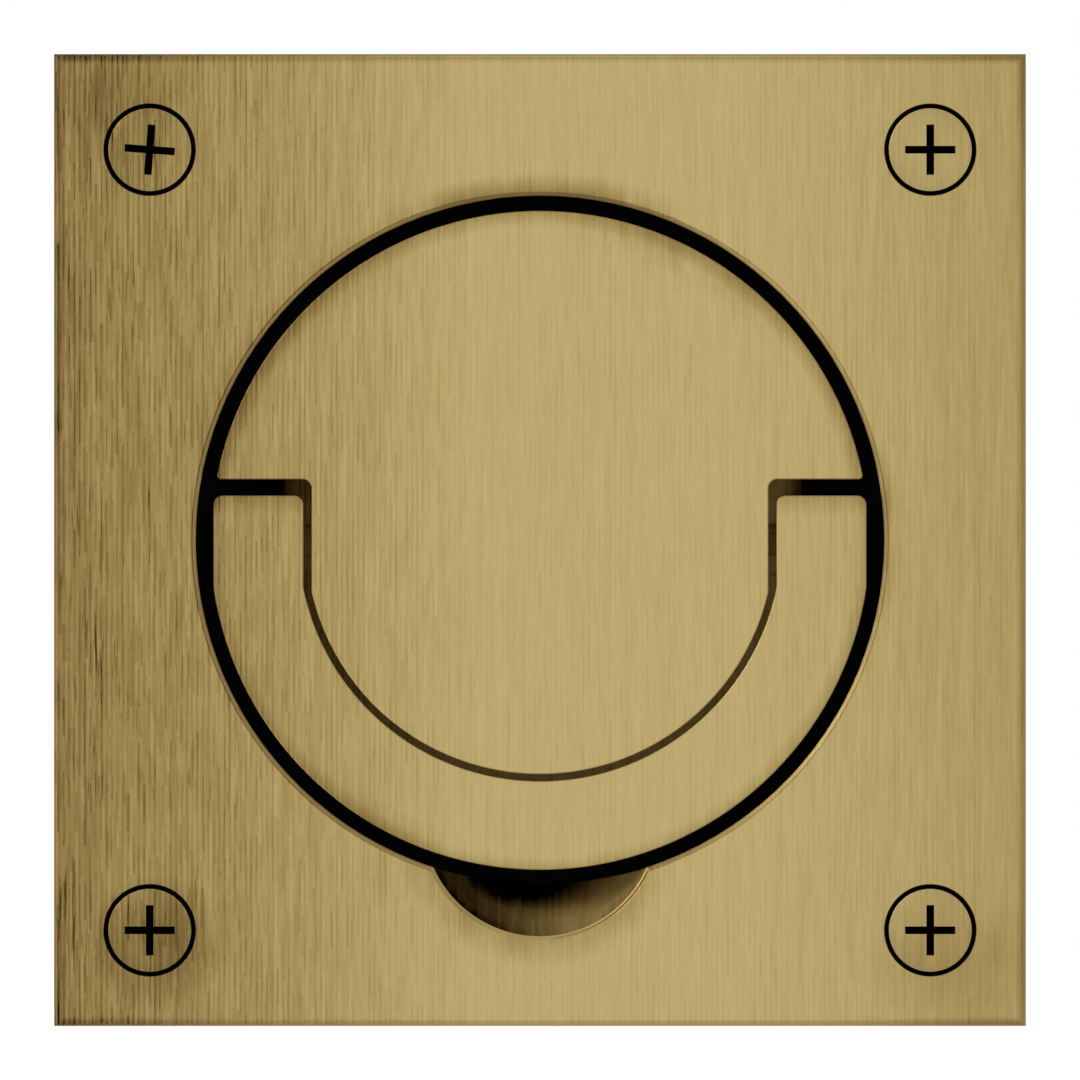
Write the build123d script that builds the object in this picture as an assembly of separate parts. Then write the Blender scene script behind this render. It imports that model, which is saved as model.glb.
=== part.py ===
"""Recessed ring pull for a door or drawer front: a square face plate with a round recess,
a fixed D-shaped centre block, and a flush U-shaped ring that swings out on two pins.

Millimetres. +Z is up, the face looks along -Y and +X is to the right seen from the front.
The origin is on the centre line of the recess, in the rear plane of the face plate, which
is the plane that lies on the door.
"""

from build123d import *
import math
import os

# ---- face plate, its collar and the round opening -------------------------------------
PLATE_SIDE = 63.5
PLATE_THICK = 3.0
PLATE_EDGE = 0.4  # rounding of the front edges
OPENING_DIA = 45.0
RIM_BREAK = 0.25  # chamfer on the rim of the opening and of the finger notch
COLLAR_WALL = 4.25
COLLAR_LENGTH = 6.0  # behind the plate, down to the back plate

# ---- finger notch: a ball-cutter dish below the opening -------------------------------
NOTCH_RIM_R = 7.7  # radius of the dish where it meets the face
NOTCH_DEPTH = 6.5  # depth of the whole ball cut at its centre, below the face
NOTCH_REACH = 3.45  # how far the dish runs past the edge of the opening

# ---- back plate ------------------------------------------------------------------------
BACK_THICK = 2.0
BACK_INSET = 0.3  # the back plate is this much smaller than the collar all round
SPIGOT_DIA = 8.0
SPIGOT_LENGTH = 1.7
SPIGOT_GAP = 0.05

# ---- pull ring -------------------------------------------------------------------------
RING_GAP = 0.95  # ring to the wall of the opening
RING_WIDTH = 5.78
RING_THICK = 4.0
ARM_FLAT_DROP = 3.1  # the arms are straight from here below the pivot axis, upwards
TAIL_LENGTH = 2.9  # arm end above the pivot axis
TAIL_CORNER = 0.6
GRIP_EDGE = 0.6  # chamfer on the rear outer edge, where a fingertip hooks in
EDGE_BREAK = 0.06  # chamfer on the front edges of the ring and the block

# ---- centre block ----------------------------------------------------------------------
BLOCK_GAP = 1.0  # block to the wall of the opening
NOSE_GAP = 0.47  # ring to the round nose of the block
ARM_GAP = 0.55  # arm to the straight neck of the block
SWING_GAP = 0.45  # corner of the turning arm end to the wing of the block
WING_CORNER = 0.25
SLOT_CORNER = 0.6
SHELF_WIDTH = 2.7  # ledge round the nose, behind the ring
SHELF_GAP = 0.05  # ledge to the rear of the ring, which rests on it when shut
STOP_GAP = 0.05  # arm end to its stop, with the ring fully open
STOP_SIDE_GAP = 0.4  # room below the open arm in the stop pocket

# ---- pivot pins ------------------------------------------------------------------------
PIN_DIA = 2.0
PIN_SEAT_DEPTH = 6.0  # in the block
PIN_INSET = 0.2  # outer end of the pin below the side of the arm
RUNNING_GAP = 0.04  # pin in the arm
SLIP_GAP = 0.01  # pin and screw thread in the hole that holds it

# ---- screws ----------------------------------------------------------------------------
SCREW_INSET = 6.25  # mounting screw axis to the edge of the plate
SCREW_HEAD_DIA = 5.44
SCREW_THREAD_DIA = 3.0
SCREW_SHANK_DIA = 2.6  # between the head and the thread, which starts at the rear of the plate
SCREW_LENGTH = 16.0
SCREW_POINT = 2.0
SCREW_TURN = 4.4  # the top left screw stopped this far past upright
HEAD_GAP = 0.29  # round a mounting screw's head at the face
SEAT_GAP = 0.02  # under the cone of a mounting screw's head
HOLE_GAP = 0.2  # round a thread or shank that passes through a plate
CROSS_SPAN = 3.3
CROSS_WIDTH = 0.5
CROSS_DEPTH = 1.1

BLOCK_SCREW_DIA = 3.0
BLOCK_SCREW_LENGTH = 6.0  # under the head
BLOCK_SCREW_FLATS = 5.5  # width across the flats of the hexagon head
BLOCK_SCREW_HEAD = 2.0  # height of the head
BLOCK_SCREW_R = 11.0
BLOCK_SCREW_COUNT = 3
COVER_SCREW_DIA = 2.0
COVER_SCREW_LENGTH = 6.0
COVER_SCREW_FLATS = 4.0
COVER_SCREW_HEAD = 1.4
COVER_SCREW_COUNT = 3
COVER_SCREW_EDGE = 2.5  # axis to the outside of the collar
TAP_EXTRA = 0.5  # tapped hole beyond the end of its screw

# ---- levels along Y, from the face to the back -----------------------------------------
FACE_Y = -PLATE_THICK
PIVOT_Y = FACE_Y + RING_THICK / 2
RING_REAR_Y = FACE_Y + RING_THICK
SHELF_Y = RING_REAR_Y + SHELF_GAP
STOP_Y = PIVOT_Y + TAIL_LENGTH + STOP_GAP
FLOOR_Y = COLLAR_LENGTH
BACK_Y = FLOOR_Y + BACK_THICK

# ---- radii and half widths from the centre line ----------------------------------------
OPENING_R = OPENING_DIA / 2
COLLAR_R = OPENING_R + COLLAR_WALL
BLOCK_R = OPENING_R - BLOCK_GAP
RING_OUTER_R = OPENING_R - RING_GAP
RING_INNER_R = RING_OUTER_R - RING_WIDTH
NOSE_R = RING_INNER_R - NOSE_GAP
SHELF_R = NOSE_R + SHELF_WIDTH
ARM_OUTER_X = math.sqrt(RING_OUTER_R**2 - ARM_FLAT_DROP**2)
ARM_INNER_X = math.sqrt(RING_INNER_R**2 - ARM_FLAT_DROP**2)
NECK_X = ARM_INNER_X - ARM_GAP
WING_Z = math.hypot(TAIL_LENGTH, RING_THICK / 2) + SWING_GAP
SCREW_X = PLATE_SIDE / 2 - SCREW_INSET
COVER_SCREW_R = COLLAR_R - COVER_SCREW_EDGE

MARGIN = 1.0  # how far a cutting tool runs out of the metal that it cuts


def slab(outline, y_front, y_rear):
    """Solid between two levels, from an outline drawn as seen from the front."""
    return extrude(Plane.XZ.offset(-y_rear) * outline, y_rear - y_front)


def turned(points, x=0.0, z=0.0):
    """Solid of revolution about a line along Y at (x, z), from (radius, y) points."""
    profile = make_face(Polyline(*points, close=True))
    return Pos(x, 0, z) * revolve(profile, Axis.Y)


def rod_along_x(radius, x_from, x_to):
    """Round bar on the pivot axis, between two places along X."""
    bar = Cylinder(radius, abs(x_to - x_from), rotation=(0, 90, 0))
    return Pos((x_from + x_to) / 2, PIVOT_Y, 0) * bar


def ring_of_places(radius, count, start_deg):
    """Evenly spaced (x, z) places on a circle round the centre line."""
    angles = [math.radians(start_deg + 360 * i / count) for i in range(count)]
    return [(radius * math.cos(a), radius * math.sin(a)) for a in angles]


# ---- places of the screws --------------------------------------------------------------
MOUNTING_SCREWS = {
    "mounting_screw_top_left": (-SCREW_X, SCREW_X, SCREW_TURN),
    "mounting_screw_top_right": (SCREW_X, SCREW_X, 0.0),
    "mounting_screw_bottom_left": (-SCREW_X, -SCREW_X, 0.0),
    "mounting_screw_bottom_right": (SCREW_X, -SCREW_X, 0.0),
}
BLOCK_SCREWS = ring_of_places(BLOCK_SCREW_R, BLOCK_SCREW_COUNT, 90)
COVER_SCREWS = ring_of_places(COVER_SCREW_R, COVER_SCREW_COUNT, 90)


def mounting_hole(x, z):
    """Countersunk clearance hole in the face plate."""
    mouth_r = SCREW_HEAD_DIA / 2 + HEAD_GAP
    hole_r = SCREW_THREAD_DIA / 2 + HOLE_GAP
    cone_end = FACE_Y + mouth_r - hole_r
    points = [
        (0, FACE_Y - MARGIN),
        (mouth_r, FACE_Y - MARGIN),
        (mouth_r, FACE_Y),
        (hole_r, cone_end),
        (hole_r, MARGIN),
        (0, MARGIN),
    ]
    return turned(points, x, z)


def tapped_hole(dia, length, x, z):
    """Blind tapped hole, open at the back plate, for a screw whose head lies on that plate."""
    hole = Pos(x, z) * Circle(dia / 2 + SLIP_GAP)
    return slab(hole, BACK_Y - length - TAP_EXTRA, FLOOR_Y + MARGIN)


def back_plate_hole(dia, x, z):
    """Clearance hole through the back plate."""
    return slab(Pos(x, z) * Circle(dia / 2 + HOLE_GAP), FLOOR_Y - MARGIN, BACK_Y + MARGIN)


def notch_ball():
    """The ball that cuts the finger notch; its centre is in front of the face."""
    ball_r = (NOTCH_RIM_R**2 + NOTCH_DEPTH**2) / (2 * NOTCH_DEPTH)
    centre_z = -(OPENING_R + NOTCH_REACH - NOTCH_RIM_R)
    return Pos(0, FACE_Y + NOTCH_DEPTH - ball_r, centre_z) * Sphere(ball_r)


def make_face_plate():
    """Square plate and the round collar behind it, machined as one piece."""
    plate = slab(Rectangle(PLATE_SIDE, PLATE_SIDE), FACE_Y, 0)
    plate = fillet(plate.faces().sort_by(Axis.Y)[0].edges(), PLATE_EDGE)
    body = plate + slab(Circle(COLLAR_R), 0, COLLAR_LENGTH)
    body -= slab(Circle(OPENING_R), FACE_Y - MARGIN, FLOOR_Y + MARGIN)
    body -= notch_ball()
    face = body.faces().filter_by(Plane.XZ).sort_by(Axis.Y)[0]
    body = chamfer(face.inner_wires()[0].edges(), RIM_BREAK)
    for x, z, _turn in MOUNTING_SCREWS.values():
        body -= mounting_hole(x, z)
    for x, z in COVER_SCREWS:
        body -= tapped_hole(COVER_SCREW_DIA, COVER_SCREW_LENGTH, x, z)
    return body


def make_back_plate():
    """Round cover that closes the recess and carries the centre block."""
    disc = slab(Circle(COLLAR_R - BACK_INSET), FLOOR_Y, BACK_Y)
    disc -= slab(Circle(SPIGOT_DIA / 2 + SPIGOT_GAP), FLOOR_Y - MARGIN, BACK_Y + MARGIN)
    for x, z in BLOCK_SCREWS:
        disc -= back_plate_hole(BLOCK_SCREW_DIA, x, z)
    for x, z in COVER_SCREWS:
        disc -= back_plate_hole(COVER_SCREW_DIA, x, z)
    return disc


def block_outline():
    """D-shaped head, straight neck and round nose, as one closed outline."""
    wing_x = math.sqrt(BLOCK_R**2 - WING_Z**2)
    neck_z = -math.sqrt(NOSE_R**2 - NECK_X**2)
    outline = ThreePointArc((wing_x, WING_Z), (0, BLOCK_R), (-wing_x, WING_Z))
    outline += Polyline((-wing_x, WING_Z), (-NECK_X, WING_Z), (-NECK_X, neck_z))
    outline += ThreePointArc((-NECK_X, neck_z), (0, -NOSE_R), (NECK_X, neck_z))
    outline += Polyline((NECK_X, neck_z), (NECK_X, WING_Z), (wing_x, WING_Z))
    face = make_face(outline)
    corners = face.vertices().filter_by(lambda v: abs(v.Y - WING_Z) < 1e-6)
    outer = [v for v in corners if abs(v.X) > (wing_x + NECK_X) / 2]
    inner = [v for v in corners if abs(v.X) < (wing_x + NECK_X) / 2]
    face = fillet(outer, WING_CORNER)
    inner = [v for v in face.vertices() if any((v.center() - i.center()).length < 1e-6 for i in inner)]
    return fillet(inner, SLOT_CORNER)


def stop_pocket(side):
    """Pocket in the shelf that the arm end swings into; its floor stops the ring."""
    z_low = -(RING_THICK / 2 + STOP_SIDE_GAP)
    width = SHELF_R + MARGIN - NECK_X
    room = Pos(side * (NECK_X + width / 2), (z_low + WING_Z) / 2) * Rectangle(width, WING_Z - z_low)
    return slab(room, SHELF_Y - MARGIN, STOP_Y)


def make_centre_block():
    """Fixed block inside the ring, with a ledge behind the ring and a spigot at the rear."""
    block = slab(block_outline(), FACE_Y, FLOOR_Y)
    block = chamfer(block.faces().sort_by(Axis.Y)[0].edges(), EDGE_BREAK)
    block += slab(Circle(SHELF_R), SHELF_Y, FLOOR_Y)
    for side in (-1, 1):
        block -= stop_pocket(side)
        seat_end = side * (NECK_X - PIN_SEAT_DEPTH)
        block -= rod_along_x(PIN_DIA / 2 + SLIP_GAP, seat_end, side * (NECK_X + MARGIN))
    block += slab(Circle(SPIGOT_DIA / 2), FLOOR_Y, FLOOR_Y + SPIGOT_LENGTH)
    for x, z in BLOCK_SCREWS:
        block -= tapped_hole(BLOCK_SCREW_DIA, BLOCK_SCREW_LENGTH, x, z)
    return block


def ring_outline():
    """U shape: two straight arms joined by a round bow."""
    z_low, z_top = -ARM_FLAT_DROP, TAIL_LENGTH
    outline = ThreePointArc((-ARM_OUTER_X, z_low), (0, -RING_OUTER_R), (ARM_OUTER_X, z_low))
    outline += ThreePointArc((-ARM_INNER_X, z_low), (0, -RING_INNER_R), (ARM_INNER_X, z_low))
    for side in (-1, 1):
        outer_x, inner_x = side * ARM_OUTER_X, side * ARM_INNER_X
        outline += Polyline((outer_x, z_low), (outer_x, z_top), (inner_x, z_top), (inner_x, z_low))
    face = make_face(outline)
    return fillet(face.vertices().group_by(Axis.Y)[-1], TAIL_CORNER)


def tail_rounding():
    """What is cut off behind the arm ends, so that they turn on a radius about the pivot."""
    width = 2 * (ARM_OUTER_X + MARGIN)
    depth = RING_REAR_Y - PIVOT_Y + MARGIN
    height = TAIL_LENGTH + MARGIN
    corner = Pos(0, PIVOT_Y + depth / 2, height / 2) * Box(width, depth, height)
    return corner - rod_along_x(TAIL_LENGTH, -ARM_OUTER_X - MARGIN, ARM_OUTER_X + MARGIN)


def make_pull_ring():
    """Flush ring that swings out about the pins in its arms."""
    ring = slab(ring_outline(), FACE_Y, RING_REAR_Y)
    ring = chamfer(ring.faces().sort_by(Axis.Y)[0].edges(), EDGE_BREAK)
    rear = ring.faces().sort_by(Axis.Y)[-1]
    ring = chamfer(rear.edges().filter_by(GeomType.CIRCLE).sort_by(SortBy.LENGTH)[-1], GRIP_EDGE)
    ring -= tail_rounding()
    ring -= rod_along_x(PIN_DIA / 2 + RUNNING_GAP, -ARM_OUTER_X - MARGIN, ARM_OUTER_X + MARGIN)
    return ring


def make_pivot_pin(side):
    """Plain pin through one arm, held in the block; the wall of the opening keeps it in."""
    return rod_along_x(PIN_DIA / 2, side * (NECK_X - PIN_SEAT_DEPTH), side * (ARM_OUTER_X - PIN_INSET))


def make_mounting_screw(x, z, turn):
    """Countersunk wood screw with a cross recess; the thread is its plain outer form."""
    head_r, shank_r, thread_r = SCREW_HEAD_DIA / 2, SCREW_SHANK_DIA / 2, SCREW_THREAD_DIA / 2
    y_land = FACE_Y + HEAD_GAP - SEAT_GAP
    y_tip = FACE_Y + SCREW_LENGTH
    points = [
        (0, FACE_Y),
        (head_r, FACE_Y),
        (head_r, y_land),
        (shank_r, y_land + head_r - shank_r),
        (shank_r, 0),
        (thread_r, 0),
        (thread_r, y_tip - SCREW_POINT),
        (0, y_tip),
    ]
    cross = Rectangle(CROSS_SPAN, CROSS_WIDTH) + Rectangle(CROSS_WIDTH, CROSS_SPAN)
    screw = turned(points) - slab(cross, FACE_Y - MARGIN, FACE_Y + CROSS_DEPTH)
    return Pos(x, 0, z) * Rot(0, turn, 0) * screw


def make_back_screw(dia, length, flats, height, x, z):
    """Hexagon-head machine screw with its head on the rear of the back plate."""
    head = RegularPolygon(flats / 2, 6, major_radius=False)
    screw = slab(Circle(dia / 2), BACK_Y - length, BACK_Y) + slab(head, BACK_Y, BACK_Y + height)
    return Pos(x, 0, z) * screw


def make_all():
    """Every piece by its name."""
    pieces = {
        "face_plate": make_face_plate(),
        "back_plate": make_back_plate(),
        "centre_block": make_centre_block(),
        "pull_ring": make_pull_ring(),
        "pivot_pin_left": make_pivot_pin(-1),
        "pivot_pin_right": make_pivot_pin(1),
    }
    for name, (x, z, turn) in MOUNTING_SCREWS.items():
        pieces[name] = make_mounting_screw(x, z, turn)
    block_size = (BLOCK_SCREW_DIA, BLOCK_SCREW_LENGTH, BLOCK_SCREW_FLATS, BLOCK_SCREW_HEAD)
    for number, (x, z) in enumerate(BLOCK_SCREWS, 1):
        pieces[f"block_screw_{number}"] = make_back_screw(*block_size, x, z)
    cover_size = (COVER_SCREW_DIA, COVER_SCREW_LENGTH, COVER_SCREW_FLATS, COVER_SCREW_HEAD)
    for number, (x, z) in enumerate(COVER_SCREWS, 1):
        pieces[f"cover_screw_{number}"] = make_back_screw(*cover_size, x, z)
    return pieces


os.makedirs("parts", exist_ok=True)
for name, piece in make_all().items():
    export_step(piece, f"parts/{name}.step")
    print(f"{name}: {piece.volume:.2f} mm3")
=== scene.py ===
"""Looks of the recessed ring pull: brushed brass on the milled parts, screws with real threads,
and a plain studio round them.

Metres, in the frame of the model: +Z is up, the face looks along -Y, and the origin is on the
centre line of the recess, in the rear plane of the face plate.
"""

import logging
import math
from dataclasses import dataclass
from enum import Enum

import bmesh
import bpy
from mathutils import Matrix, Vector


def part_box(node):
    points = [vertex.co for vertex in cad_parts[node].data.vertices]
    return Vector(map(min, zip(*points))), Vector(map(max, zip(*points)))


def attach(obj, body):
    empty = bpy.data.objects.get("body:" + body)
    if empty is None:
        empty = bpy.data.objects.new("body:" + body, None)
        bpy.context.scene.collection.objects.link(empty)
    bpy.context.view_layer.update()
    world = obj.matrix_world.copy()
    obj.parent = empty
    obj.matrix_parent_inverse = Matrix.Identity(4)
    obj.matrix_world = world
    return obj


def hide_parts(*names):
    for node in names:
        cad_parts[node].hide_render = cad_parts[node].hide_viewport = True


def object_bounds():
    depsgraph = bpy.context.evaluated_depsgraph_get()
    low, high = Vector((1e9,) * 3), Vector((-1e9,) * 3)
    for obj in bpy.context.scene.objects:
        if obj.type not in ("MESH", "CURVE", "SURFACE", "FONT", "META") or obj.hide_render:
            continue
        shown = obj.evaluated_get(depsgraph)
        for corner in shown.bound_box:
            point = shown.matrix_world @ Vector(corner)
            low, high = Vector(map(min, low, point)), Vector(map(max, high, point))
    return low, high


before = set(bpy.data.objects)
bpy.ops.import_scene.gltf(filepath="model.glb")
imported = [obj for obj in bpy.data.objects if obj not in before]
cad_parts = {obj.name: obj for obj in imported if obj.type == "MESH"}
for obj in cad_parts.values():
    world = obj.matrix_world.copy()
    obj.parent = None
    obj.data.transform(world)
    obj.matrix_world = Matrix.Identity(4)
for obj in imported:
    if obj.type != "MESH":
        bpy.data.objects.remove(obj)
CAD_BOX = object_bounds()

LOG = logging.getLogger("ring_pull")
MM = 0.001
FULL_TURN = 2 * math.pi
WELD = 1e-6  # metres within which two points are one

Colour = tuple[float, float, float, float]
Span = tuple[float, float]
Pitch = tuple[float, float, float]
Profile = list[tuple[float, float]]


# ---- shader expressions -----------------------------------------------------------------


class Signal:
    """A node's output that takes part in expressions, which add Math nodes."""

    def __init__(self, tree: "Tree", socket: bpy.types.NodeSocket) -> None:
        """Wrap one output socket of a tree."""
        self.tree = tree
        self.socket = socket

    def __add__(self, other: "Signal | float") -> "Signal":
        """self + other"""
        return self.tree.maths("ADD", self, other)

    def __radd__(self, other: float) -> "Signal":
        """other + self"""
        return self.tree.maths("ADD", other, self)

    def __sub__(self, other: "Signal | float") -> "Signal":
        """self - other"""
        return self.tree.maths("SUBTRACT", self, other)

    def __rsub__(self, other: float) -> "Signal":
        """other - self"""
        return self.tree.maths("SUBTRACT", other, self)

    def __mul__(self, other: "Signal | float") -> "Signal":
        """self * other"""
        return self.tree.maths("MULTIPLY", self, other)

    def __rmul__(self, other: float) -> "Signal":
        """other * self"""
        return self.tree.maths("MULTIPLY", other, self)

    def __truediv__(self, other: "Signal | float") -> "Signal":
        """self / other"""
        return self.tree.maths("DIVIDE", self, other)

    def __pow__(self, other: float) -> "Signal":
        """self to a power"""
        return self.tree.maths("POWER", self, other)

    def __abs__(self) -> "Signal":
        """Size without its sign."""
        return self.tree.maths("ABSOLUTE", self)

    def clamped(self) -> "Signal":
        """self, held between 0 and 1"""
        return self.tree.maths("ADD", self, 0.0, clamp=True)

    def ramp(self, start: float, end: float) -> "Signal":
        """Straight rise from 0 at start to 1 at end; it falls where end is the lower one."""
        return ((self - start) * (1 / (end - start))).clamped()

    def larger(self, other: "Signal | float") -> "Signal":
        """The larger of two values."""
        return self.tree.maths("MAXIMUM", self, other)

    def near(self, centre: float, half_width: float) -> "Signal":
        """1 at centre, straight down to 0 at half_width to either side of it."""
        return (1.0 - abs(self - centre) * (1 / half_width)).clamped()

    def hypot(self, other: "Signal") -> "Signal":
        """Distance of the point (self, other) from the origin."""
        return (self * self + other * other) ** 0.5


class Tree:
    """The node tree that shades a material or a world."""

    def __init__(self, owner: bpy.types.Material | bpy.types.World) -> None:
        """Start an empty tree.

        Args:
            owner: the material or the world.
        """
        owner.use_nodes = True
        self.owner = owner
        self.nodes = owner.node_tree.nodes
        self.links = owner.node_tree.links
        self.nodes.clear()

    @classmethod
    def of_material(cls, name: str) -> "Tree":
        """Start the tree of a new material."""
        return cls(bpy.data.materials.new(name))

    def node(
        self,
        kind: str,
        settings: dict[str, object] | None = None,
        inputs: dict[str | int, object] | None = None,
        output: str | int = 0,
    ) -> Signal:
        """Add one node.

        Args:
            kind: the node's type.
            settings: its properties, set first; "stops" is a colour ramp's list of places and colours.
            inputs: values or signals by the socket's identifier, name or place in the list.
            output: the output that the signal comes from.

        Returns:
            The chosen output.
        """
        node = self.nodes.new(kind)
        for key, value in (settings or {}).items():
            if key == "stops":
                self._set_stops(node.color_ramp, value)
            else:
                setattr(node, key, value)
        for key, value in (inputs or {}).items():
            self._feed(self._socket(node.inputs, key), value)
        if not node.outputs:
            return Signal(self, None)
        return Signal(self, self._socket(node.outputs, output))

    @staticmethod
    def _set_stops(ramp: bpy.types.ColorRamp, stops: list[tuple[float, Colour]]) -> None:
        """Give a colour ramp its stops.

        Args:
            ramp: the colour ramp, which has two stops when it is new.
            stops: place and colour of each stop.
        """
        while len(ramp.elements) < len(stops):
            ramp.elements.new(0.5)
        for element, (place, colour) in zip(ramp.elements, stops):
            element.position = place
            element.color = colour

    @staticmethod
    def _socket(sockets: bpy.types.bpy_prop_collection, key: str | int) -> bpy.types.NodeSocket:
        """Find a socket.

        Args:
            sockets: the inputs or outputs of a node.
            key: the socket's identifier, name or place in the list.

        Returns:
            The socket.
        """
        if isinstance(key, int):
            return sockets[key]
        return next((s for s in sockets if s.identifier == key), None) or sockets[key]

    def _feed(self, socket: bpy.types.NodeSocket, value: object) -> None:
        """Link a signal to a socket, or set the socket's own value.

        Args:
            socket: the input that is fed.
            value: a signal, or a plain value of the socket's type.
        """
        if isinstance(value, Signal):
            self.links.new(value.socket, socket)
        else:
            socket.default_value = value

    def maths(self, operation: str, *values: "Signal | float", clamp: bool = False) -> Signal:
        """Add a Math node.

        Args:
            operation: what it works out.
            values: its operands.
            clamp: hold the result between 0 and 1.

        Returns:
            Its result.
        """
        names = ("Value", "Value_001", "Value_002")
        settings = {"operation": operation, "use_clamp": clamp}
        return self.node("ShaderNodeMath", settings, dict(zip(names, values)))

    def blend(self, first: "Signal | Colour", second: "Signal | Colour", amount: "Signal | float") -> Signal:
        """Mix two colours; amount 1 gives the second."""
        inputs = {"Factor_Float": amount, "A_Color": first, "B_Color": second}
        return self.node("ShaderNodeMix", {"data_type": "RGBA"}, inputs, "Result_Color")

    def position(self) -> Signal:
        """Place on the piece in millimetres, which moves with the piece."""
        place = self.node("ShaderNodeTexCoord", output="Object")
        return self.node("ShaderNodeVectorMath", {"operation": "SCALE"}, {"Vector": place, "Scale": 1 / MM})

    def axes(self, place: Signal) -> tuple[Signal, Signal, Signal]:
        """Take a vector apart.

        Args:
            place: the vector.

        Returns:
            Its X, Y and Z.
        """
        split = self.node("ShaderNodeSeparateXYZ", None, {"Vector": place})
        outputs = split.socket.node.outputs
        return tuple(Signal(self, outputs[axis]) for axis in "XYZ")

    def noise(self, place: Signal, pitch: Pitch, detail: float = 2.0) -> Signal:
        """Noise whose features have about the given size along each axis.

        Args:
            place: the point, in millimetres.
            pitch: size of a feature along X, Y and Z, in millimetres.
            detail: octaves of finer noise.

        Returns:
            The noise, about 0.5 in the middle.
        """
        scale = tuple(1 / size for size in pitch)
        inputs = {"Vector": place, "Vector_001": scale}
        stretched = self.node("ShaderNodeVectorMath", {"operation": "MULTIPLY"}, inputs)
        return self.node("ShaderNodeTexNoise", None, {"Vector": stretched, "Scale": 1.0, "Detail": detail})

    def brush_marks(self, place: Signal, width: float, length: float) -> Signal:
        """Upright brush marks: columns of random runs, each of one even shade.

        Args:
            place: the point, in millimetres.
            width: width of a column.
            length: length of a run.

        Returns:
            The shade of each run, from -0.5 to 0.5.
        """
        x, _, z = self.axes(place)
        column = self.maths("FLOOR", x * (1 / width) + length)
        shift = self.node("ShaderNodeTexWhiteNoise", {"noise_dimensions": "1D"}, {"W": column})
        run = self.maths("FLOOR", z * (1 / length) + shift)
        cell = self.node("ShaderNodeCombineXYZ", None, {"X": column, "Y": run})
        return self.node("ShaderNodeTexWhiteNoise", {"noise_dimensions": "2D"}, {"Vector": cell}) - 0.5

    def brush_lines(self, place: Signal, pitch: float, length: float) -> Signal:
        """Fine upright scratches at an even pitch, in runs of different depth.

        Args:
            place: the point, in millimetres.
            pitch: distance from one scratch to the next.
            length: length of a run.

        Returns:
            The depth of the scratch, 0 between two scratches and up to 1 in the middle of one.
        """
        x, _, _ = self.axes(place)
        across = self.maths("FRACT", x * (1 / pitch) + length)
        scratch = across.near(0.5, 0.25)
        return scratch * (self.brush_marks(place, pitch, length) + 0.5)

    def bump(self, height: Signal, distance: float) -> Signal:
        """Normal from a height; distance is in metres."""
        inputs = {"Height": height, "Distance": distance, "Strength": 1.0}
        return self.node("ShaderNodeBump", None, inputs)

    def finish(self, inputs: dict[str, object]) -> bpy.types.Material:
        """Close the tree with a Principled shader.

        Args:
            inputs: values or signals for the shader's sockets.

        Returns:
            The finished material.
        """
        shader = self.node("ShaderNodeBsdfPrincipled", None, inputs)
        self.node("ShaderNodeOutputMaterial", None, {"Surface": shader})
        return self.owner


# ---- finishes ---------------------------------------------------------------------------


@dataclass(frozen=True)
class DarkPatch:
    """A soft dark patch on the face, in millimetres."""

    x: float
    z: float
    half_x: float
    half_z: float
    depth: float

    def mask(self, x: Signal, z: Signal) -> Signal:
        """Shade of the patch.

        Args:
            x: place to the right, in millimetres.
            z: place upwards, in millimetres.

        Returns:
            Its depth in the middle, and 0 at its edge.
        """
        across = (x - self.x) * (1 / self.half_x)
        along = (z - self.z) * (1 / self.half_z)
        inside = (1.0 - (across * across + along * along)).clamped()
        return inside * self.depth


@dataclass(frozen=True)
class PaintedShadeArc:
    """A soft band of painted shade along an arc, in millimetres and degrees from +X towards +Z."""

    middle_deg: float
    half_deg: float
    radius: float
    half_width: float
    depth: float
    centre_z: float = 0.0

    def mask(self, x: Signal, z: Signal) -> Signal:
        """Shade of the band.

        Args:
            x: place to the right, in millimetres.
            z: place upwards, in millimetres.

        Returns:
            Its depth along the arc, and 0 at its edges.
        """
        up = z - self.centre_z
        radius = x.hypot(up)
        middle, half = math.radians(self.middle_deg), math.radians(self.half_deg)
        facing = (x * math.cos(middle) + up * math.sin(middle)) / radius
        along = facing.ramp(math.cos(half), math.cos(half * 0.35))
        across = radius.near(self.radius, self.half_width)
        return along * across * self.depth


@dataclass(frozen=True)
class Depth:
    """Strength of a mark: its value on the right, and what it gains up to the left edge."""

    plain: float
    gain: float

    def at(self, left: Signal) -> Signal:
        """Strength at a place, where left is 0 on the right and 1 at the left edge."""
        return self.plain + self.gain * left


@dataclass(frozen=True)
class Fade:
    """A shade that grows in a straight line from one place to another, in millimetres."""

    start: float
    end: float
    shade: float

    def at(self, place: Signal) -> Signal:
        """The shade at a place: 0 up to start, and full from end on."""
        return place.ramp(self.start, self.end) * self.shade


class Part(Enum):
    """Which brass part a finish is for, because each has its streaks and its painted shade in its own places.
    """

    PLATE = "plate"
    BLOCK = "block"
    RING = "ring"
    SCREW = "screw"


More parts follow.
